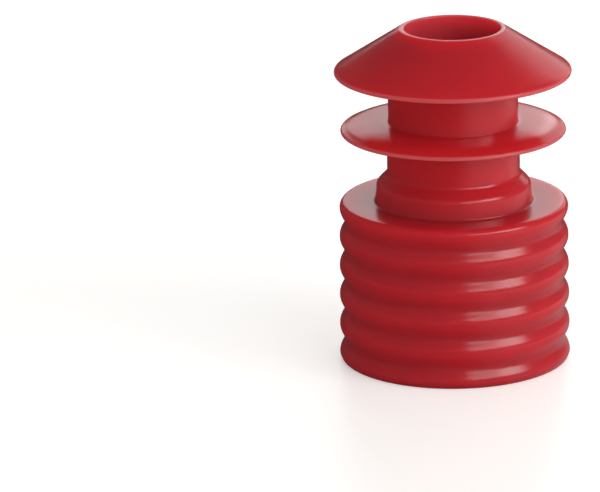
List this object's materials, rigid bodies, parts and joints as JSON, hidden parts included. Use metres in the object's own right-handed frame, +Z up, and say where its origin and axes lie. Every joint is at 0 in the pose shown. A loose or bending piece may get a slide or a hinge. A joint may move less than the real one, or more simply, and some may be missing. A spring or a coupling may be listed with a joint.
{
  "type": "test tube cap",
  "caption": "Push-in stopper with a ribbed hollow grip, a collar and a hollow neck that carries a thin wiping disc and an umbrella-shaped flange.",
  "frame": {"origin": "middle of the grip's flat foot, on the surface that it stands on", "axes": "+Z up along the stopper's axis, from the grip's open foot towards the umbrella that goes into the tube first; X and Y are alike because the form is round"},
  "size_m": [0.0164, 0.0164, 0.0236],
  "materials": {
    "polyethylene": "satin moulded low-density polyethylene, red"
  },
  "bodies": {
    "root": {"stopper": "polyethylene"}
  },
  "joints": []
}
